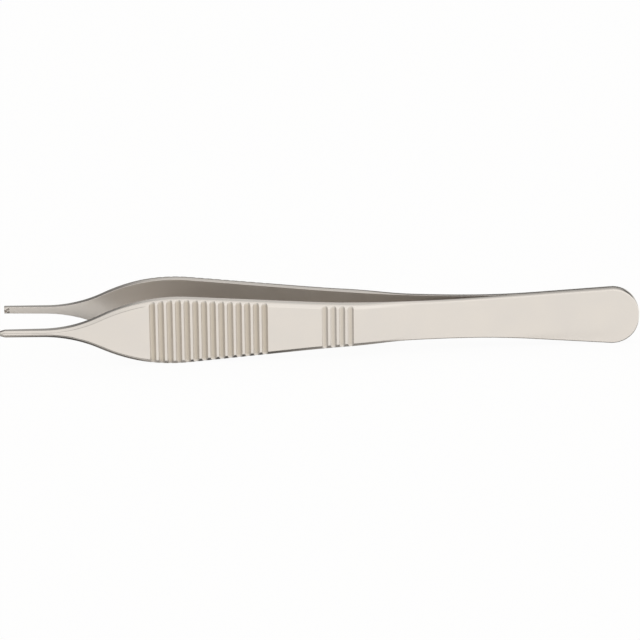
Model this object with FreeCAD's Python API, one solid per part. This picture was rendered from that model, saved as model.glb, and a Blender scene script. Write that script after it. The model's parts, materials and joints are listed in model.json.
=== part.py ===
"""Fine-tipped thumb forceps: two sprung steel arms, welded face to face at the handle end.

Millimetres. Each arm is drawn with X running from its tip to the handle end, Y from the middle of
the forceps out through the arm and Z across its width. Then the pair is stood on its lower edges:
X stays along the length, Y is the way the arms open and Z is up.
"""
import FreeCAD, Part
import math
import os

# Length and widths of an arm, seen square on its outer face
length = 120.6
tip_width = 1.31
grip_width = 12.62
neck_width = 7.5
handle_width = 10.85
end_flat = 0.8           # straight stretch in the middle of the round end

# Corners of that outline, and the radii that round them
flare_corner = 13.4      # from the tips
flare_radius = 24.5
grip_corner = 27.2       # from the tips
grip_radius = 33.0
neck_corner = 41.9       # from the handle end
neck_run = 22.6          # of the outline, either side of that corner, taken up by its rounding

# Bends of an arm, from the tips, and how far its inner face stands there from the middle
tip_opening = 6.25
shoulder_bend = 28.0
shoulder_opening = 5.08
shoulder_radius = 250.0
belly_bend = 63.1
belly_opening = 3.2
belly_radius = 107.0
closing_run = 31.0       # from the belly bend to where the arms come to lie face to face
closing_radius = 126.0

# Thickness of an arm, which is ground thin behind the grip
tip_thickness = 1.0
grip_thickness = 2.25
handle_thickness = 1.1
thick_from = 25.6        # from the tips
thick_run = 42.1         # length that has the full thickness
thinning_run = 8.0       # behind that
thickening_radius = 68.0
thinning_radius = 28.0

# Edges of the outer face
edge_break = 0.2
bevel_width = 0.55       # across the outer face
bevel_depth = 0.27       # down the side of the arm
tip_bevel_width = 0.4
tip_bevel_depth = 0.2
bevel_full_from = 18.0
bevel_full_to = 67.5
bevel_run_out = 9.0

# Cross grooves of the grip
groove_width = 1.15
groove_pitch = 1.62
front_groove_count = 14
front_groove_start = 28.75
front_groove_depth = 0.38
rear_groove_count = 4
rear_groove_start = 61.1
rear_groove_depth = 0.3

# Teeth at the tips
tooth_height = 0.6
tooth_pitch = 0.64       # between the two teeth, which is also a tooth's width at its root
tooth_crest = 0.3
tooth_length = 1.0
tooth_clearance = 0.04
tip_taper_length = 1.0
tip_taper_width = 0.3
tip_facet = 0.3

margin = 2.0             # how far a cutting tool reaches past the steel
near_enough = 1e-6
bevel_sections = 44


def toward(point, angle, distance):
    """The point at a distance from another, along an angle in radians."""
    return (point[0] + distance * math.cos(angle), point[1] + distance * math.sin(angle))


class Path:
    """Straight stretches with rounded corners, read as a height over x.

    A corner is (x, y, radius). The first and the last are the ends.
    """

    def __init__(self, corners):
        self.ends = (corners[0], corners[-1])
        self.arcs = []
        for before, corner, after in zip(corners, corners[1:], corners[2:]):
            arrive = math.atan2(corner[1] - before[1], corner[0] - before[0])
            leave = math.atan2(after[1] - corner[1], after[0] - corner[0])
            turn = leave - arrive
            cut = corner[2] * abs(math.tan(turn / 2))
            side = math.copysign(math.pi / 2, turn)
            first = toward(corner, arrive, -cut)
            last = toward(corner, leave, cut)
            centre = toward(first, arrive + side, corner[2])
            middle = toward(centre, (arrive + leave) / 2 - side, corner[2])
            self.arcs.append((first, middle, last, centre))

    def edges(self):
        """The path as edges, from its first end to its last."""
        points = [self.ends[0]] + [point for arc in self.arcs for point in arc[::2]] + [self.ends[1]]
        vectors = [FreeCAD.Vector(x, y, 0) for x, y, *rest in points]
        found = [Part.makeLine(*pair) for pair in zip(vectors[::2], vectors[1::2])]
        for arc in self.arcs:
            three = [FreeCAD.Vector(x, y, 0) for x, y in arc[:3]]
            found.append(Part.Arc(*three).toShape())
        return found

    def height(self, x):
        """Height of the path at x. Past its ends the path runs on straight."""
        start = self.ends[0]
        for first, middle, last, centre in self.arcs:
            if x < first[0]:
                return between(start, first, x)
            if x <= last[0]:
                radius = math.dist(first, centre)
                reach = math.sqrt(radius ** 2 - (x - centre[0]) ** 2)
                return centre[1] + math.copysign(reach, middle[1] - centre[1])
            start = last
        return between(start, self.ends[1], x)


def between(first, last, x):
    """Height at x of the straight line through two points."""
    return first[1] + (x - first[0]) * (last[1] - first[1]) / (last[0] - first[0])


def radius_over(before, corner, after, run):
    """Radius that rounds a corner over a run of the straight stretches on both its sides."""
    arrive = math.atan2(corner[1] - before[1], corner[0] - before[0])
    leave = math.atan2(after[1] - corner[1], after[0] - corner[0])
    return run / abs(math.tan((leave - arrive) / 2))


def half_outline():
    """Upper half of the outline. Its corners are moved until their arcs touch the widths asked for."""
    end_radius = (handle_width - end_flat) / 2
    wanted = [grip_width / 2, neck_width / 2, handle_width / 2]
    humps = [1, -1, 1]
    heights = list(wanted)
    misses = list(wanted)
    while max(map(abs, misses)) > near_enough:
        grip = (grip_corner, heights[0])
        neck = (length - neck_corner, heights[1])
        handle = (length, heights[2])
        path = Path([
            (0, tip_width / 2, 0),
            (flare_corner, tip_width / 2, flare_radius),
            (*grip, grip_radius),
            (*neck, radius_over(grip, neck, handle, neck_run)),
            (*handle, end_radius),
            (length, 0, 0),
        ])
        for number, hump in enumerate(humps):
            first, middle, last, centre = path.arcs[number + 1]
            touched = centre[1] + hump * math.dist(first, centre)
            misses[number] = wanted[number] - touched
            heights[number] += misses[number]
    return path


def inner_face():
    """Path of the face that looks at the other arm."""
    return Path([
        (0, tip_opening, 0),
        (shoulder_bend, shoulder_opening, shoulder_radius),
        (belly_bend, belly_opening, belly_radius),
        (belly_bend + closing_run, 0, closing_radius),
        (length, 0, 0),
    ])


def outer_face():
    """Path of the face that the fingers hold, a thickness of steel away from the inner face."""
    thick_to = thick_from + thick_run
    thin_from = thick_to + thinning_run
    return Path([
        (0, tip_opening + tip_thickness, 0),
        (thick_from, inner.height(thick_from) + grip_thickness, thickening_radius),
        (thick_to, inner.height(thick_to) + grip_thickness, thinning_radius),
        (thin_from, inner.height(thin_from) + handle_thickness, thinning_radius),
        (belly_bend + closing_run, handle_thickness, closing_radius - handle_thickness),
        (length, handle_thickness, 0),
    ])


outline = half_outline()
inner = inner_face()
outer = outer_face()
flat_from = max(inner.arcs[-1][2][0], outer.arcs[-1][2][0])


def plate_between(z_low, z_high, wire):
    """Solid of a closed XY wire, from one height to another."""
    face = Part.Face(wire)
    face.translate(FreeCAD.Vector(0, 0, z_low))
    return face.extrude(FreeCAD.Vector(0, 0, z_high - z_low))


def outline_prism(low, high):
    """The arm's outline, pushed through a range of Y."""
    upper = outline.edges()
    lower = [edge.mirror(FreeCAD.Vector(), FreeCAD.Vector(0, 1, 0)) for edge in upper]
    half = tip_width / 2
    tip = Part.makeLine(FreeCAD.Vector(0, half, 0), FreeCAD.Vector(0, -half, 0))
    wire = Part.Wire(Part.__sortEdges__(upper + lower + [tip]))
    prism = plate_between(-high, -low, wire)
    prism.rotate(FreeCAD.Vector(), FreeCAD.Vector(1, 0, 0), 90)
    return prism


def bowed_strip():
    """The bent strip seen from above, wider than the arm."""
    edges = inner.edges() + outer.edges()
    for near, far in zip(inner.ends, outer.ends):
        edges.append(Part.makeLine(FreeCAD.Vector(*near[:2], 0), FreeCAD.Vector(*far[:2], 0)))
    wire = Part.Wire(Part.__sortEdges__(edges))
    reach = grip_width / 2 + margin
    return plate_between(-reach, reach, wire)


def slab(first, last):
    """All the room that an arm may take up between two places along it."""
    reach = grip_width + margin
    room = Part.makeBox(last - first, 2 * reach, 2 * reach)
    room.translate(FreeCAD.Vector(first, -reach, -reach))
    return room


def flat_handle():
    """The rear of the arm, where it is a flat plate with its outer edge broken all round."""
    plate = outline_prism(0, handle_thickness).common(slab(flat_from, length + margin)).Solids[0]
    rim = []
    for edge in plate.Edges:
        box = edge.BoundBox
        if box.YMin > handle_thickness - near_enough and box.XMax > flat_from + near_enough:
            rim.append(edge)
    return plate.makeChamfer(edge_break, rim)


def blend(first, last, share):
    """Between two values, by a share that is kept from 0 to 1."""
    return first + (last - first) * min(1.0, max(0.0, share))


def bevel_size(x):
    """Width and depth of the bevel at x: small at the tip, full along the grip, a broken edge behind."""
    rise = x / bevel_full_from
    fade = (x - bevel_full_to) / bevel_run_out
    width = blend(blend(tip_bevel_width, bevel_width, rise), edge_break, fade)
    depth = blend(blend(tip_bevel_depth, bevel_depth, rise), edge_break, fade)
    return width, depth


def bevel_cutter():
    """Three-sided bar that takes the bevel off the upper edge of the outer face."""
    first = -margin
    run = flat_from - first
    sections = []
    for number in range(bevel_sections + 1):
        x = first + run * number / bevel_sections
        width, depth = bevel_size(x)
        face_y = outer.height(x)
        side_z = outline.height(x)
        on_face = FreeCAD.Vector(x, face_y + depth, side_z - 2 * width)
        on_side = FreeCAD.Vector(x, face_y - 2 * depth, side_z + width)
        beyond = FreeCAD.Vector(x, face_y + depth, side_z + width)
        sections.append(Part.makePolygon([on_face, on_side, beyond, on_face]))
    return Part.makeLoft(sections, True, False)


def grooves(count, start, depth):
    """Round-bottomed cutters across the grip, each as far into the bowed face as the next."""
    radius = (groove_width ** 2 / 4 + depth ** 2) / (2 * depth)
    reach = grip_width / 2 + margin
    bars = []
    for number in range(count):
        x = start + groove_pitch * number
        axis = FreeCAD.Vector(x, outer.height(x) - depth + radius, -reach)
        bars.append(Part.makeCylinder(radius, 2 * reach, axis, FreeCAD.Vector(0, 0, 1)))
    return bars


def plain_arm():
    """One arm without its teeth."""
    high = tip_opening + grip_thickness + margin
    front = bowed_strip().common(outline_prism(-margin, high)).common(slab(-margin, flat_from))
    upper_bevel = bevel_cutter()
    lower_bevel = upper_bevel.mirror(FreeCAD.Vector(), FreeCAD.Vector(0, 0, 1))
    cutters = [upper_bevel, lower_bevel, facet_cutter()]
    cutters += grooves(front_groove_count, front_groove_start, front_groove_depth)
    cutters += grooves(rear_groove_count, rear_groove_start, rear_groove_depth)
    return front.cut(cutters).fuse(flat_handle()).removeSplitter()


def wedge(corners, direction):
    """Solid of a polygon drawn through its corners and pushed along a direction."""
    points = [FreeCAD.Vector(*corner) for corner in corners]
    face = Part.Face(Part.makePolygon(points + points[:1]))
    return face.extrude(FreeCAD.Vector(*direction))


def facet_cutter():
    """Takes the outer corner off the very tip."""
    face_y = tip_opening + tip_thickness
    corners = [
        (-tip_facet, face_y + tip_facet, -margin),
        (tip_facet * 2, face_y + tip_facet, -margin),
        (-tip_facet, face_y - tip_facet * 2, -margin),
    ]
    return wedge(corners, (0, 0, 2 * margin))


def taper_cutter():
    """Narrows the upper side of the very tip."""
    side = tip_width / 2
    corners = [
        (-tip_taper_length, 0, side - 2 * tip_taper_width),
        (tip_taper_length, 0, side),
        (tip_taper_length, 0, side + margin),
        (-tip_taper_length, 0, side + margin),
    ]
    return wedge(corners, (0, tip_opening + grip_thickness + margin, 0))


def tooth(middle, width):
    """A pointed tooth that stands inwards from the tip, steep in front and sloped behind.

    It is rooted a little way into the tip.
    """
    root = tip_opening + tip_thickness / 3
    crest = tip_opening - tooth_height
    spread = width / 2 * (root - crest) / tooth_height
    side = wedge([
        (0, root, middle - width),
        (0, crest, middle - width),
        (tooth_crest, crest, middle - width),
        (tooth_length, tip_opening, middle - width),
        (tooth_length, root, middle - width),
    ], (0, 0, 2 * width))
    front = wedge([
        (0, crest, middle),
        (0, root, middle + spread),
        (0, root, middle - spread),
    ], (tooth_length, 0, 0))
    return side.common(front)


def tip_room():
    """What the teeth may fill: the tip's own width, so that none stands out past its side."""
    room = Part.makeBox(tooth_length, tooth_height + tip_thickness, tip_width)
    room.translate(FreeCAD.Vector(0, tip_opening - tooth_height, -tip_width / 2))
    return room


def two_tooth_arm(arm):
    """The arm whose two teeth stand either side of the other arm's one."""
    teeth = [tooth(side * tooth_pitch / 2, tooth_pitch).common(tip_room()) for side in (-1, 1)]
    return arm.fuse(teeth).removeSplitter()


def one_tooth_arm(arm):
    """The opposite arm: one tooth in the middle, a little slimmer than the notch it closes into."""
    upper_taper = taper_cutter()
    lower_taper = upper_taper.mirror(FreeCAD.Vector(), FreeCAD.Vector(0, 0, 1))
    single = tooth(0, tooth_pitch - 2 * tooth_clearance)
    pointed = arm.cut([upper_taper, lower_taper]).fuse(single).removeSplitter()
    return pointed.mirror(FreeCAD.Vector(), FreeCAD.Vector(0, 1, 0))


def resting_lean():
    """Degrees between the middle of the arms and the line that touches grip and handle end below."""
    grip = outline.arcs[1]
    end = outline.arcs[3]
    grip_arc_radius = math.dist(grip[0], grip[3])
    end_arc_radius = math.dist(end[0], end[3])
    dx = end[3][0] - grip[3][0]
    dy = end[3][1] - grip[3][1]
    slope = math.atan2(dy, dx) - math.asin((grip_arc_radius - end_arc_radius) / math.hypot(dx, dy))
    return -math.degrees(slope)


def stood_on_edge(arms):
    """Both arms as they rest on the lower edges of the grips and the handle end."""
    for arm in arms:
        arm.rotate(FreeCAD.Vector(), FreeCAD.Vector(0, 1, 0), resting_lean())
    box = Part.makeCompound(arms).optimalBoundingBox(False)
    for arm in arms:
        arm.translate(FreeCAD.Vector(-box.Center.x, 0, -box.ZMin))
    return arms


plain = plain_arm()
far_arm, near_arm = stood_on_edge([two_tooth_arm(plain), one_tooth_arm(plain)])
nodes = {"two_tooth_arm": far_arm, "one_tooth_arm": near_arm}
os.makedirs("parts", exist_ok=True)
for name, shape in nodes.items():
    shape.exportStep("parts/" + name + ".step")
    print(name, "valid", shape.isValid(), "solids", len(shape.Solids), "volume", round(shape.Volume, 1))
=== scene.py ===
import json
import math

import bmesh
import bpy
from mathutils import Matrix, Vector

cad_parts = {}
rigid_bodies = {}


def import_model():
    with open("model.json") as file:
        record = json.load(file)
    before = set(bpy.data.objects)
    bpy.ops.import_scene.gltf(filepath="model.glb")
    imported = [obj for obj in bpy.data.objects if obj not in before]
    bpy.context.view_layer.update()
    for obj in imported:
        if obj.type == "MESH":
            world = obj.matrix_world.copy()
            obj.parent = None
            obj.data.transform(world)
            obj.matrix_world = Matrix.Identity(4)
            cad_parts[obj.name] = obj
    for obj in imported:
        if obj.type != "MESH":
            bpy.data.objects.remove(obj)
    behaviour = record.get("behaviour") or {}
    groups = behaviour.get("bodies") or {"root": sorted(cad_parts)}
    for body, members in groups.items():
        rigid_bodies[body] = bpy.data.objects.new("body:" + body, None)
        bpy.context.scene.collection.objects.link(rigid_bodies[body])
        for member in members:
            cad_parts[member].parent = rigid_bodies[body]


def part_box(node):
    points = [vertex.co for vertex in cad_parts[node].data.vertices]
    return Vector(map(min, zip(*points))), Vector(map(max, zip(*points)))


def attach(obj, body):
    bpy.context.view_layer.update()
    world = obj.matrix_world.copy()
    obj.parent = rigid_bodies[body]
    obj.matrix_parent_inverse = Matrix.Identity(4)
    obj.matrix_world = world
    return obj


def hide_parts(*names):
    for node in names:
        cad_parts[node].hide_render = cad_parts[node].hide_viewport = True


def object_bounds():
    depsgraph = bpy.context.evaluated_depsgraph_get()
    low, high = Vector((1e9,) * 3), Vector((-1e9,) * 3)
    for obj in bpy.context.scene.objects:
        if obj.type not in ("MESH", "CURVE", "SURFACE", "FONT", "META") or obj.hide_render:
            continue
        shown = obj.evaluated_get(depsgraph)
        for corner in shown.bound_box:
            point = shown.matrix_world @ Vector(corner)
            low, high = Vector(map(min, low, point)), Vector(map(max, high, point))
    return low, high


for leftover in list(bpy.data.objects):
    bpy.data.objects.remove(leftover)
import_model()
cadLow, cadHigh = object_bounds()
print("frame loaded", [round(v * 1000, 2) for v in cadHigh - cadLow], "mm")

mm = 0.001

# One arm, drawn with x from the tip to the handle end, y outwards from the middle and z across
outlineSizes = {
    "length": 120.6 * mm,
    "tipWidth": 1.31 * mm,
    "tipCorner": 0.12 * mm,
    "taperLength": 1.0 * mm,          # only the arm with one tooth is narrowed at its tip
    "taperWidth": 0.3 * mm,
    "gripWidth": 12.62 * mm,
    "neckWidth": 7.5 * mm,
    "handleWidth": 10.85 * mm,
    "endFlat": 0.8 * mm,
    "flareCorner": 13.4 * mm,
    "flareRadius": 24.5 * mm,
    "gripCorner": 27.2 * mm,
    "gripRadius": 33.0 * mm,
    "neckCorner": 78.7 * mm,
    "neckRadius": 312 * mm,
}
endRadius = (outlineSizes["handleWidth"] - outlineSizes["endFlat"]) / 2
bow = {                               # bends of the inner face: place along the arm, opening, radius
    "tip": 6.25 * mm,
    "shoulder": (28 * mm, 5.08 * mm, 250 * mm),
    "belly": (63.1 * mm, 3.2 * mm, 107 * mm),
    "closing": (94.1 * mm, 0.0, 126 * mm),
}
thickness = {                         # from tip to handle: place along the arm, thickness, radius
    "tip": 1.0 * mm,
    "thickFrom": (25.6 * mm, 2.25 * mm, 68 * mm),
    "thickTo": (67.7 * mm, 2.25 * mm, 28 * mm),
    "thinFrom": (75.7 * mm, 1.1 * mm, 28 * mm),
    "handle": 1.1 * mm,
}
edges = {
    "bevelWidth": 0.55 * mm,
    "bevelDepth": 0.27 * mm,
    "tipBevelWidth": 0.4 * mm,
    "tipBevelDepth": 0.2 * mm,
    "fullFrom": 18 * mm,              # the bevel grows from the tip to here
    "fullTo": 67.5 * mm,              # and runs out behind the grip, from here
    "runOut": 9 * mm,
    "runOutWidth": 0.3 * mm,
    # the polished outer part of the side, on the grip and on the handle: its depth, and its lean inwards
    "crown": (0.55 * mm, 0.76 * mm),
    "crownFall": (0.035 * mm, 0.068 * mm),
    "shadedTipTo": 14 * mm,                # from the tip to here the side has no crown and is darkened with painted shade
    "shadedTipRun": 7 * mm,
    "seamShadeFrom": 76 * mm,              # from here painted shade darkens the side again, along the weld of the handle where the arms meet
    "seamShadeRun": 14 * mm,
    "seamShadeStrength": 1.1,
    # fine shallow line along the bevel's crease, which also gets painted shade: depth, half width, where
    # it ends
    "line": (0.05 * mm, 0.06 * mm, 27.5 * mm),
    # strength of the painted shade along that line
    "creaseShadeStrength": 0.9,
    "crease": 0.06 * mm,              # height over which the wheel has softened the bevel's crease
    "grooveCrease": 0.02 * mm,        # and the brim of a groove
    "outer": (0.07 * mm, 0.24 * mm),  # rounding of the outer edges, on the grip and on the handle
    "inner": 0.04 * mm,
    "sideLane": 0.02 * mm,            # from a rounding to the first lane on the side
}
groove = {
    "width": 1.15 * mm,
    "pitch": 1.62 * mm,
    "front": (28.75 * mm, 14, 0.38 * mm),
    "rear": (61.1 * mm, 4, 0.3 * mm),
}
teeth = {
    "height": 0.6 * mm,
    "pitch": 0.64 * mm,
    "crest": 0.3 * mm,
    "length": 1.0 * mm,
    "clearance": 0.04 * mm,
    "front": 0.08 * mm,
    "rootShadeStrength": 0.9,              # painted shade on the steel between the teeth
    "rootShadeTop": 0.625,              # share of their height above which no shade is painted on them
}


def toward(point, angle, distance):
    return (point[0] + distance * math.cos(angle), point[1] + distance * math.sin(angle))


def blend(first, last, share):
    return first + (last - first) * min(1.0, max(0.0, share))


def larger(a, b, softness):
    # the larger height, with the crease between them softened
    share = max(0.0, softness - abs(a - b)) / softness
    return max(a, b) + share * share * softness / 4


uprightRun = 1e-9                     # a stretch that covers less than this along x stands upright


class Path:
    # straight stretches with rounded corners; a corner is (x, y, radius)
    def __init__(self, corners):
        self.lines = []
        self.arcs = []
        here = corners[0][:2]
        for before, corner, after in zip(corners, corners[1:], corners[2:]):
            arrive = math.atan2(corner[1] - before[1], corner[0] - before[0])
            leave = math.atan2(after[1] - corner[1], after[0] - corner[0])
            turn = leave - arrive
            cut = corner[2] * abs(math.tan(turn / 2))
            side = math.copysign(math.pi / 2, turn)
            first = toward(corner, arrive, -cut)
            last = toward(corner, leave, cut)
            centre = toward(first, arrive + side, corner[2])
            self.lines.append((here, first))
            self.arcs.append((first, last, centre, corner[2], side))
            here = last
        self.lines.append((here, corners[-1][:2]))

    def height(self, x):
        for (start, end), (first, last, centre, radius, side) in zip(self.lines, self.arcs):
            if x < first[0]:
                break
            if x <= last[0]:
                rise = math.sqrt(max(0.0, radius ** 2 - (x - centre[0]) ** 2))
                return centre[1] - math.copysign(rise, side)
        else:
            start, end = self.lines[-1]
        if end[0] - start[0] < uprightRun:
            return max(start[1], end[1])
        return start[1] + (x - start[0]) * (end[1] - start[1]) / (end[0] - start[0])

    def inward(self, x, y):
        # how far a point inside lies from the nearest stretch, or about how far where no edge is near
        clear = min(self.lines[-1][1][0] - x, self.height(x) - y)
        if clear > 2 * edges["bevelWidth"]:
            return clear
        found = [self.fromLine(line, x, y) for line in self.lines]
        return min(found + [self.fromArc(arc, x, y) for arc in self.arcs])

    @staticmethod
    def fromLine(line, x, y):
        (startX, startY), (endX, endY) = line
        dx, dy = endX - startX, endY - startY
        span = dx * dx + dy * dy
        share = blend(0, 1, ((x - startX) * dx + (y - startY) * dy) / span) if span else 0
        return math.hypot(x - startX - share * dx, y - startY - share * dy)

    @staticmethod
    def fromArc(arc, x, y):
        first, last, centre, radius, side = arc
        spoke = (x - centre[0], y - centre[1])
        afterFirst = (first[0] - centre[0]) * spoke[1] - (first[1] - centre[1]) * spoke[0]
        beforeLast = spoke[0] * (last[1] - centre[1]) - spoke[1] * (last[0] - centre[0])
        if afterFirst * side < 0 or beforeLast * side < 0:
            return math.inf
        return abs(radius - math.hypot(*spoke))


settlingRounds = 30


def halfOutline(tip):
    # upper half of the outline; its corners are moved until the arcs touch the widths asked for
    sizes = outlineSizes
    wanted = [sizes["gripWidth"] / 2, sizes["neckWidth"] / 2, sizes["handleWidth"] / 2]
    heights = list(wanted)
    for settling in range(settlingRounds):
        path = Path([(0, 0, 0)] + tip + [
            (sizes["flareCorner"], sizes["tipWidth"] / 2, sizes["flareRadius"]),
            (sizes["gripCorner"], heights[0], sizes["gripRadius"]),
            (sizes["neckCorner"], heights[1], sizes["neckRadius"]),
            (sizes["length"], heights[2], endRadius),
            (sizes["length"], 0, 0),
        ])
        for number, (first, last, centre, radius, side) in enumerate(path.arcs[-3:]):
            heights[number] += wanted[number] - (centre[1] - math.copysign(radius, side))
    return path


def facePaths():
    # inner and outer face of an arm
    length, handle = outlineSizes["length"], thickness["handle"]
    closing, opening, radius = bow["closing"]
    inner = Path([(0, bow["tip"], 0), bow["shoulder"], bow["belly"], bow["closing"], (length, 0, 0)])
    layers = [(place, inner.height(place) + layer, turn) for place, layer, turn in (
        thickness["thickFrom"], thickness["thickTo"], thickness["thinFrom"])]
    outer = Path([(0, bow["tip"] + thickness["tip"], 0)] + layers + [
        (closing, handle, radius - handle), (length, handle, 0)])
    return inner, outer


innerFace, outerFace = facePaths()


def bevelCut(x, inward):
    # depth of the bevel, less than nothing inside its crease
    rise = x / edges["fullFrom"]
    fade = (x - edges["fullTo"]) / edges["runOut"]
    width = blend(blend(edges["tipBevelWidth"], edges["bevelWidth"], rise), edges["runOutWidth"], fade)
    depth = blend(blend(edges["tipBevelDepth"], edges["bevelDepth"], rise), 0.0, fade)
    return depth * (1 - inward / width)


def creaseLine(x, inward):
    # how much of the line's depth, and of its painted shade, there is here
    depth, reach, end = edges["line"]
    crease = blend(edges["tipBevelWidth"], edges["bevelWidth"], x / edges["fullFrom"])
    return max(0.0, 1 - abs(inward - crease) / reach) if x < end else 0.0


def uncrownedShadedTip(x):
    # how far the sides near the tip are left without the crown and darkened with painted shade
    return blend(1, 0, (x - edges["shadedTipTo"]) / edges["shadedTipRun"])


def seamShade(x):
    # painted shade on the sides along the weld of the handle, where the arms meet
    return blend(0, edges["seamShadeStrength"], (x - edges["seamShadeFrom"]) / edges["seamShadeRun"])


def grooveCut(x):
    # depth of the nearest cross groove, less than nothing between two
    deepest = -1.0 * mm
    for start, count, depth in (groove["front"], groove["rear"]):
        nearest = min(count - 1, max(0, round((x - start) / groove["pitch"])))
        off = abs(x - start - nearest * groove["pitch"])
        radius = (groove["width"] ** 2 / 4 + depth ** 2) / (2 * depth)
        if off < radius:
            deepest = max(deepest, depth - radius + math.sqrt(radius ** 2 - off ** 2))
    return deepest


def rounding(inward, radius):
    return radius - math.sqrt(radius ** 2 - (radius - inward) ** 2) if inward < radius else 0.0


def toothHeight(x, z, middles, width):
    # pointed teeth, steep in front and sloped behind
    behind = (teeth["length"] - x) / (teeth["length"] - teeth["crest"])
    along = min(1.0, x / teeth["front"], behind)
    across = max(1 - abs(z - middle) / (width / 2) for middle in middles)
    return teeth["height"] * max(0.0, min(along, across))


def steps(first, last, count):
    return [first + (last - first) * number / count for number in range(count + 1)]


slicing = {
    "front": (0, 0.1, 0.3, 0.6),      # in the rounding of the tip's front, as shares of it
    "toothSlices": 20,
    "toothReach": 1.3,                # how far those go, in lengths of the teeth
    "tipSlices": 6,
    "tipReach": 7 * mm,
    "flareSlices": 44,
    # across half a groove and over its brim, as shares of its half width
    "groove": (0, 0.22, 0.44, 0.62, 0.76, 0.87, 0.94, 0.985, 1.02, 1.07, 1.2),
    "panelSlices": 10,
    "rearSlices": 60,
    "endSlices": 30,
    "nearest": 0.004 * mm,            # slices closer than this are one
}


def slicePlaces():
    # where an arm is cut across, closest where its form turns fast
    length, pitch = outlineSizes["length"], groove["pitch"]
    toothEnd = slicing["toothReach"] * teeth["length"]
    places = [share * edges["inner"] for share in slicing["front"]]
    places += steps(edges["inner"], toothEnd, slicing["toothSlices"])
    places += steps(toothEnd, slicing["tipReach"], slicing["tipSlices"])
    places += steps(slicing["tipReach"], groove["front"][0] - pitch, slicing["flareSlices"])
    for start, count, depth in (groove["front"], groove["rear"]):
        for number in range(count):
            for share in slicing["groove"]:
                places.append(start + number * pitch + share * groove["width"] / 2)
                places.append(start + number * pitch - share * groove["width"] / 2)
    places += steps(groove["front"][0] + groove["front"][1] * pitch, groove["rear"][0] - pitch,
                    slicing["panelSlices"])
    places += steps(groove["rear"][0] + groove["rear"][1] * pitch, length - endRadius,
                    slicing["rearSlices"])
    places += [length - endRadius * (1 - math.sin(turn))
               for turn in steps(0, math.pi / 2, slicing["endSlices"])]
    kept = [0.0]
    for place in sorted(places):
        if place - kept[-1] > slicing["nearest"]:
            kept.append(place)
    return kept[:-1] + [length]


# Lanes across half an arm, in millimetres in from its edge: close together in the rounding and round
# the crease. The first two both lie at the edge, and the first of them is carried onto the side.
laneSteps = [
    0, 0, 0.004, 0.012, 0.023, 0.035, 0.05, 0.068, 0.09, 0.118, 0.15, 0.2, 0.26, 0.32, 0.38, 0.43,
    0.46, 0.49, 0.52, 0.55, 0.58, 0.61, 0.66, 0.72, 0.79, 0.88, 0.94,
]
laneReach = 0.7                       # share of the half width that they take up at most
middleLanes = 6


def crossSection(x, outline, middles, width):
    # place and heights of the outer and inner face at each lane, from the lower edge to the upper one,
    # with how deep the lane is milled, whether it lies on the polished side, and how much painted shade
    # it gets
    half = outline.height(x)
    scale = min(mm, laneReach * half / laneSteps[-1])
    upper = [half - step * scale for step in laneSteps]
    upper += steps(upper[-1], 0, middleLanes)[1:]
    behind = (x - edges["fullTo"]) / edges["runOut"]
    crown = blend(*edges["crown"], behind) * (1 - uncrownedShadedTip(x))
    crownFall = blend(*edges["crownFall"], behind)
    radius = blend(*edges["outer"], behind)
    across = []
    for number, z in enumerate(upper):
        inward = outline.inward(x, z)
        up = edges["sideLane"] if number == 0 else 0.0
        bevel = larger(bevelCut(x, inward), 0.0, edges["crease"])
        onSide = max(0.0, 1 - inward / crownFall)
        line = creaseLine(x, inward)
        bevel += crown * onSide + edges["line"][0] * line
        cut = larger(bevel, grooveCut(x), edges["grooveCrease"])
        outer = outerFace.height(x) - cut - rounding(inward, radius) - up
        inner = innerFace.height(x) + rounding(inward, edges["inner"]) + up
        milled = ((cut - bevel) / groove["front"][2]) ** 2
        # painted shade on the side near the tip, along the weld and along the crease line
        dull = (uncrownedShadedTip(x) + seamShade(x)) * onSide + edges["creaseShadeStrength"] * line
        across.append((z, outer, inner, milled, float(onSide > 0), dull))
    across = [(-z, *rest) for z, *rest in across[:-1]] + across[::-1]
    if x < teeth["length"]:
        across = [(z, outer, inner - toothHeight(x, z, middles, width), *rest)
                  for z, outer, inner, *rest in across]
    return across


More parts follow.
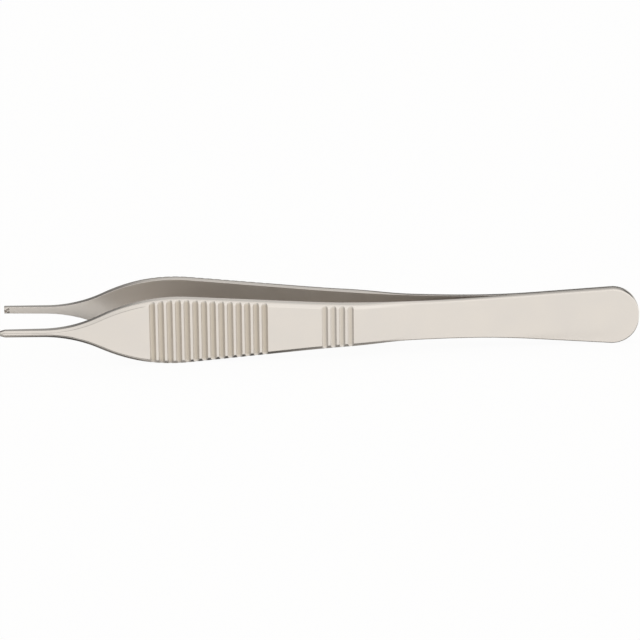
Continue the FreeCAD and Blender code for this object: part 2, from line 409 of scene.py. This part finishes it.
def forgeArm(name, outline, middles, width):
    # a block cut into slices and lanes, then pressed to the shape of an arm
    places = slicePlaces()
    slices = len(places) - 1
    lanes = 2 * (len(laneSteps) + middleLanes - 1)
    bm = bmesh.new()
    bmesh.ops.create_cube(bm, size=1.0)
    for axis, cuts in ((0, slices - 1), (2, lanes - 1)):
        alongAxis = [edge for edge in bm.edges
                     if abs(edge.verts[0].co[axis] - edge.verts[1].co[axis]) > 0.5]
        bmesh.ops.subdivide_edges(bm, edges=alongAxis, cuts=cuts, use_grid_fill=True)
    sections = [crossSection(x, outline, middles, width) for x in places]
    milledLayer = bm.verts.layers.float.new("milled")
    sideLayer = bm.verts.layers.float.new("side")
    paintedShadeLayer = bm.verts.layers.float.new("dull")
    for vert in bm.verts:
        number = round((vert.co.x + 0.5) * slices)
        lane = round((vert.co.z + 0.5) * lanes)
        z, outer, inner, milled, onSide, dull = sections[number][lane]
        if vert.co.y > 0:
            vert[milledLayer], vert[sideLayer], vert[paintedShadeLayer] = milled, onSide, dull
            vert.co = (places[number], outer, z)
            continue
        if lane in (0, lanes):
            vert[sideLayer], vert[paintedShadeLayer] = 1.0, dull
        elif places[number] < teeth["length"]:
            # painted shade in the hollows between the teeth, fading up their flanks and towards the back
            rise = (innerFace.height(places[number]) - inner) / teeth["height"]
            root = blend(teeth["rootShadeStrength"], 0, rise / teeth["rootShadeTop"])
            vert[sideLayer] = 1.0
            vert[paintedShadeLayer] = root * (1 - places[number] / teeth["length"])
        vert.co = (places[number], inner, z)
    bmesh.ops.recalc_face_normals(bm, faces=bm.faces)
    mesh = bpy.data.meshes.new(name)
    bm.to_mesh(mesh)
    bm.free()
    piece = bpy.data.objects.new(name, mesh)
    bpy.context.scene.collection.objects.link(piece)
    return piece


def leanAngle():
    # between an arm's middle and the line that its grip and its handle end rest on
    grip, gripRadius = farOutline.arcs[-3][2:4]
    end = farOutline.arcs[-1][2]
    dx, dy = end[0] - grip[0], end[1] - grip[1]
    return math.asin((gripRadius - endRadius) / math.hypot(dx, dy)) - math.atan2(dy, dx)


def standUp(piece, node, mirrored):
    # leans the finished arm until it rests, and sets it in the place of its node
    mesh = piece.data
    if mirrored:
        mesh.transform(Matrix.Scale(-1, 4, (0, 1, 0)))
        mesh.flip_normals()
    mesh.transform(Matrix.Rotation(leanAngle(), 4, "Y"))
    boxLow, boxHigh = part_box(node)
    farthest = max(vert.co.x for vert in mesh.vertices)
    lowest = min(vert.co.z for vert in mesh.vertices)
    mesh.transform(Matrix.Translation((boxHigh[0] - farthest, 0, boxLow[2] - lowest)))
    mesh.shade_smooth()
    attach(piece, "root")
    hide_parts(node)


tipHalf = outlineSizes["tipWidth"] / 2
squareTip = [(0, tipHalf, outlineSizes["tipCorner"])]
narrowedTip = [
    (0, tipHalf - outlineSizes["taperWidth"], outlineSizes["tipCorner"]),
    (outlineSizes["taperLength"], tipHalf, outlineSizes["taperLength"] / 2),
]
farOutline = halfOutline(squareTip)
nearOutline = halfOutline(narrowedTip)
pairOfTeeth = [-teeth["pitch"] / 2, teeth["pitch"] / 2]
farArm = forgeArm("farArm", farOutline, pairOfTeeth, teeth["pitch"])
nearArm = forgeArm("nearArm", nearOutline, [0.0], teeth["pitch"] - 2 * teeth["clearance"])
standUp(farArm, "two_tooth_arm", False)
standUp(nearArm, "one_tooth_arm", True)
print("arms forged,", len(farArm.data.polygons) + len(nearArm.data.polygons), "faces")


class Socket:
    # a node's output, which can stand in sums and products
    def __init__(self, shader, link):
        self.shader = shader
        self.link = link

    def combine(self, operation, *values):
        return self.shader.node("ShaderNodeMath", {"operation": operation}, dict(enumerate(values)))

    def __add__(self, other):
        return self.combine("ADD", self, other)

    def __sub__(self, other):
        return self.combine("SUBTRACT", self, other)

    def __rsub__(self, other):
        return self.combine("SUBTRACT", other, self)

    def __mul__(self, other):
        return self.combine("MULTIPLY", self, other)

    __radd__ = __add__
    __rmul__ = __mul__


class Shader:
    # the nodes of a material or of the world
    def __init__(self, owner):
        owner.use_nodes = True
        self.tree = owner.node_tree
        self.tree.nodes.clear()

    def node(self, kind, settings=None, inputs=None, output=0):
        made = self.tree.nodes.new(kind)
        for key, value in (settings or {}).items():
            if key == "stops":
                self.setStops(made.color_ramp, value)
            else:
                setattr(made, key, value)
        for key, value in (inputs or {}).items():
            if isinstance(value, Socket):
                self.tree.links.new(value.link, made.inputs[key])
            else:
                made.inputs[key].default_value = value
        return Socket(self, made.outputs[output]) if made.outputs else None

    @staticmethod
    def setStops(ramp, stops):
        for number, (place, grey) in enumerate(stops):
            if number < len(ramp.elements):
                ramp.elements[number].position = place
            else:
                ramp.elements.new(place)
            ramp.elements[number].color = (grey, grey, grey, 1)


satin = {
    "colour": (0.765, 0.728, 0.685, 1),
    "coolTint": (0.765, 0.738, 0.715, 1),
    "roughness": 0.33,
    "patchRoughness": 0.08,           # from the smoothest patch to the roughest
    "sideRoughness": 0.18,            # taken off on the polished sides
    "milledRoughness": 0.2,           # added in the grooves
    # dark warm tint of the painted shade in the grooves
    "grooveShadeTint": (0.6, 0.51, 0.37, 1),
    "grooveShadeShare": 0.5,               # of that tint at the groove floors: painted shade, strongest where they are deepest
    "paintedShadeStrength": 0.55,                # painted shade: share of the colour taken off towards black
    "patchScale": 180.0,
    "patchDetail": 3.0,
    "patchFineness": 0.55,
    "grainScale": 9000.0,
    "grainDetail": 2.0,
    "grainDepth": 0.0035 * mm,
    "grainStrength": 0.35,
}


def satinSteel():
    material = bpy.data.materials.new("satinSteel")
    shader = Shader(material)
    place = shader.node("ShaderNodeTexCoord", output="Object")
    patches = shader.node("ShaderNodeTexNoise", inputs={
        "Vector": place, "Scale": satin["patchScale"], "Detail": satin["patchDetail"],
        "Roughness": satin["patchFineness"]})
    grain = shader.node("ShaderNodeTexNoise", inputs={
        "Vector": place, "Scale": satin["grainScale"], "Detail": satin["grainDetail"]})
    # a Mix node takes its two colours at 6 and 7, and gives the mixed one at 2
    tint = shader.node("ShaderNodeMix", {"data_type": "RGBA"}, {
        0: patches, 6: satin["colour"], 7: satin["coolTint"]}, output=2)
    bump = shader.node("ShaderNodeBump", inputs={
        "Strength": satin["grainStrength"], "Distance": satin["grainDepth"], "Height": grain})
    milled = shader.node("ShaderNodeAttribute", {"attribute_name": "milled"}, output="Fac")
    side = shader.node("ShaderNodeAttribute", {"attribute_name": "side"}, output="Fac")
    dull = shader.node("ShaderNodeAttribute", {"attribute_name": "dull"}, output="Fac")
    # painted shade in the grooves: a dark warm tint that grows with their depth
    grooveShaded = shader.node("ShaderNodeMix", {"data_type": "RGBA"}, {
        0: milled * satin["grooveShadeShare"], 6: tint, 7: satin["grooveShadeTint"]}, output=2)
    # painted shade, darkening the colour towards black
    shaded = shader.node("ShaderNodeMix", {"data_type": "RGBA"}, {
        0: dull * satin["paintedShadeStrength"], 6: grooveShaded, 7: (0, 0, 0, 1)}, output=2)
    steel = shader.node("ShaderNodeBsdfPrincipled", inputs={
        "Base Color": shaded, "Metallic": 1.0, "Normal": bump,
        "Roughness": patches * satin["patchRoughness"] + milled * satin["milledRoughness"]
        - side * satin["sideRoughness"] + (satin["roughness"] - satin["patchRoughness"] / 2)})
    shader.node("ShaderNodeOutputMaterial", inputs={"Surface": steel})
    return material


steelMaterial = satinSteel()
for piece in (farArm, nearArm):
    piece.data.materials.append(steelMaterial)
print("steel made")

studio = {
    "floorColour": (0.93, 0.93, 0.93, 1),
    "cameraWhite": 0.94,              # share of plain white in the floor that the camera sees
    "floorSize": 3.0,
    # the room's light in front of the arms, from its left side, at 0, to its right side, at 1
    "sideStops": [(0.0, 0.35), (0.15, 0.55), (0.33, 1.09), (0.5, 1.14), (0.675, 1.14), (1.0, 1.08)],
    # how much of it there is, from straight below, at 0, to straight above, at 1
    "heightStops": [(0.0, 0.09), (0.19, 0.12), (0.28, 0.92), (0.33, 1.0), (0.6, 1.0), (0.77, 0.86),
                    (1.0, 0.8)],
    # the room behind the arms, with a dark band just above its horizon
    "rearStops": [(0.0, 0.1), (0.19, 0.15), (0.29, 0.95), (0.46, 1.0), (0.51, 0.2), (0.63, 0.2),
                  (0.655, 0.66), (0.78, 1.0), (1.0, 0.85)],
    "rearEdge": [(0.45, 0.0), (0.55, 1.0)],   # where the front room turns into the one behind
    "warmth": (1.025, 0.995, 0.95, 1),
    # a dim bed just above the floor, which only the steel's reflections see: painted shade and painted
    # reflection that stand in for the floor under the arms. Its glow from the middle of the arms, at 0,
    # to the tips, at 1
    "bedStops": [(0.0, 0.36), (0.35, 0.35), (0.5, 0.36), (0.63, 0.66), (0.7, 0.3), (0.8, 0.02),
                 (1.0, 0.34)],
    "bedBeyond": 14 * mm,             # how far it reaches past the tips
    "bedColour": (1.04, 0.99, 0.92, 1),
    "bedSpread": 1.3,                 # how much wider it is, for the arms' height above the floor
    # how it draws back under the nearer arm: from where along it, over what run and how far
    "bedTuck": (17 * mm, 5 * mm, 1.8 * mm),
    "bedHeight": 0.05 * mm,
    "bedSteps": 48,
    "lampPlace": (0.9, -0.9, 1.3),
    "lampSize": (1.6, 1.6),
    "lampPower": 1.6,
}


def stagePiece(name, material, corners):
    bm = bmesh.new()
    bmesh.ops.contextual_create(bm, geom=[bm.verts.new(corner) for corner in corners])
    mesh = bpy.data.meshes.new(name)
    bm.to_mesh(mesh)
    bm.free()
    mesh.materials.append(material)
    piece = bpy.data.objects.new(name, mesh)
    bpy.context.scene.collection.objects.link(piece)
    return piece


def floorMaterial():
    material = bpy.data.materials.new("paleFloor")
    shader = Shader(material)
    camera = shader.node("ShaderNodeLightPath", output="Is Camera Ray")
    paint = shader.node("ShaderNodeBsdfDiffuse", inputs={"Color": studio["floorColour"]})
    white = shader.node("ShaderNodeEmission", inputs={"Color": (1, 1, 1, 1), "Strength": 1.0})
    surface = shader.node("ShaderNodeMixShader", inputs={
        0: camera * studio["cameraWhite"], 1: paint, 2: white})
    shader.node("ShaderNodeOutputMaterial", inputs={"Surface": surface})
    return material


# painted shade and painted reflection for the steel, glowing more or less along the arms
def bedMaterial():
    material = bpy.data.materials.new("reflectedShadeBed")
    shader = Shader(material)
    place = shader.node("ShaderNodeTexCoord", output="Object")
    along = shader.node("ShaderNodeSeparateXYZ", inputs={"Vector": place})
    strength = shader.node("ShaderNodeValToRGB", {"stops": studio["bedStops"]}, {
        "Fac": along * (1 / cadLow.x)})
    glow = shader.node("ShaderNodeEmission", inputs={
        "Color": studio["bedColour"], "Strength": strength})
    shader.node("ShaderNodeOutputMaterial", inputs={"Surface": glow})
    return material


def bedCorners(side, tuck):
    # as wide as the arms, and wider where they stand clear of the floor
    start, run, depth = studio["bedTuck"]
    corners = []
    for s in steps(0, outlineSizes["length"], studio["bedSteps"]):
        clear = max(0.0, outlineSizes["gripWidth"] / 2 - farOutline.height(s))
        half = outerFace.height(s) + studio["bedSpread"] * clear
        half -= tuck * blend(0, depth, (s - start) / run)
        corners.append((cadLow.x + s, side * half, studio["bedHeight"]))
    return [(cadLow.x - studio["bedBeyond"], corners[0][1], studio["bedHeight"])] + corners


def makeStage():
    size = studio["floorSize"]
    floor = stagePiece("floor", floorMaterial(),
                       [(-size, -size, 0), (size, -size, 0), (size, size, 0), (-size, size, 0)])
    floor.visible_glossy = False
    # a sheet of painted shade and painted reflection under the arms, seen only in the steel's reflections
    shadeBed = stagePiece("shadeBed", bedMaterial(), bedCorners(-1, 1) + bedCorners(1, 0)[::-1])
    shadeBed.visible_camera = False
    shadeBed.visible_diffuse = False
    shadeBed.visible_shadow = False


def makeWorld():
    world = bpy.data.worlds.new("studio")
    bpy.context.scene.world = world
    shader = Shader(world)
    direction = shader.node("ShaderNodeTexCoord", output="Generated")
    split = [shader.node("ShaderNodeSeparateXYZ", inputs={"Vector": direction}, output=axis) * 0.5 + 0.5
             for axis in "XYZ"]
    ramps = [shader.node("ShaderNodeValToRGB", {"stops": studio[stops]}, {"Fac": split[axis]})
             for stops, axis in (("sideStops", 0), ("heightStops", 2), ("rearStops", 2), ("rearEdge", 1))]
    front = ramps[0] * ramps[1]
    room = front + (ramps[2] - front) * ramps[3]
    camera = shader.node("ShaderNodeLightPath", output="Is Camera Ray")
    colour = shader.node("ShaderNodeMix", {"data_type": "RGBA"}, {
        0: camera, 6: studio["warmth"], 7: (1, 1, 1, 1)}, output=2)
    background = shader.node("ShaderNodeBackground", inputs={
        "Color": colour, "Strength": room + (1 - room) * camera})
    shader.node("ShaderNodeOutputWorld", inputs={"Surface": background})


def makeLamp():
    lamp = bpy.data.lights.new("keySoftbox", "AREA")
    lamp.shape = "RECTANGLE"
    lamp.size, lamp.size_y = studio["lampSize"]
    lamp.energy = studio["lampPower"]
    made = bpy.data.objects.new("keySoftbox", lamp)
    made.location = studio["lampPlace"]
    made.rotation_euler = (-made.location).to_track_quat("-Z", "Y").to_euler()
    bpy.context.scene.collection.objects.link(made)


view = {
    "elevation": 20.0,
    "distance": 750 * mm,
    "pixelsPerMm": 5.2814,            # at the target, in the photograph's 640 pixels
    "roll": -1.245,
    "targetPixel": (320.43, 317.82),  # where the middle of the arms appears
    "frame": 640,
    "sensor": 36.0,
    "clip": (0.01, 20.0),
}


def makeCamera():
    data = bpy.data.cameras.new("camera")
    camera = bpy.data.objects.new("camera", data)
    bpy.context.scene.collection.objects.link(camera)
    bpy.context.scene.camera = camera
    data.sensor_width = view["sensor"]
    data.lens = view["pixelsPerMm"] * view["distance"] / mm * view["sensor"] / view["frame"]
    data.clip_start, data.clip_end = view["clip"]
    lift = math.radians(view["elevation"])
    back = Vector((0, -math.cos(lift), math.sin(lift)))
    level = back.to_track_quat("Z", "Y").to_matrix()
    turn = level @ Matrix.Rotation(math.radians(view["roll"]), 3, "Z")
    perPixel = mm / view["pixelsPerMm"]
    offset = turn @ Vector(((view["frame"] / 2 - view["targetPixel"][0]) * perPixel,
                            (view["targetPixel"][1] - view["frame"] / 2) * perPixel, 0))
    camera.location = Vector((0, 0, middleHeight())) + back * view["distance"] + offset
    camera.rotation_euler = turn.to_euler()


def middleHeight():
    # of the arms' middle line, half way along it
    grip, radius = farOutline.arcs[-3][2:4]
    lean = leanAngle()
    lowest = grip[1] * math.cos(lean) + radius + grip[0] * math.sin(lean)
    return lowest - outlineSizes["length"] / 2 * math.sin(lean)


makeStage()
makeWorld()
makeLamp()
makeCamera()
bpy.context.scene.view_settings.view_transform = "Standard"
print("stage set")
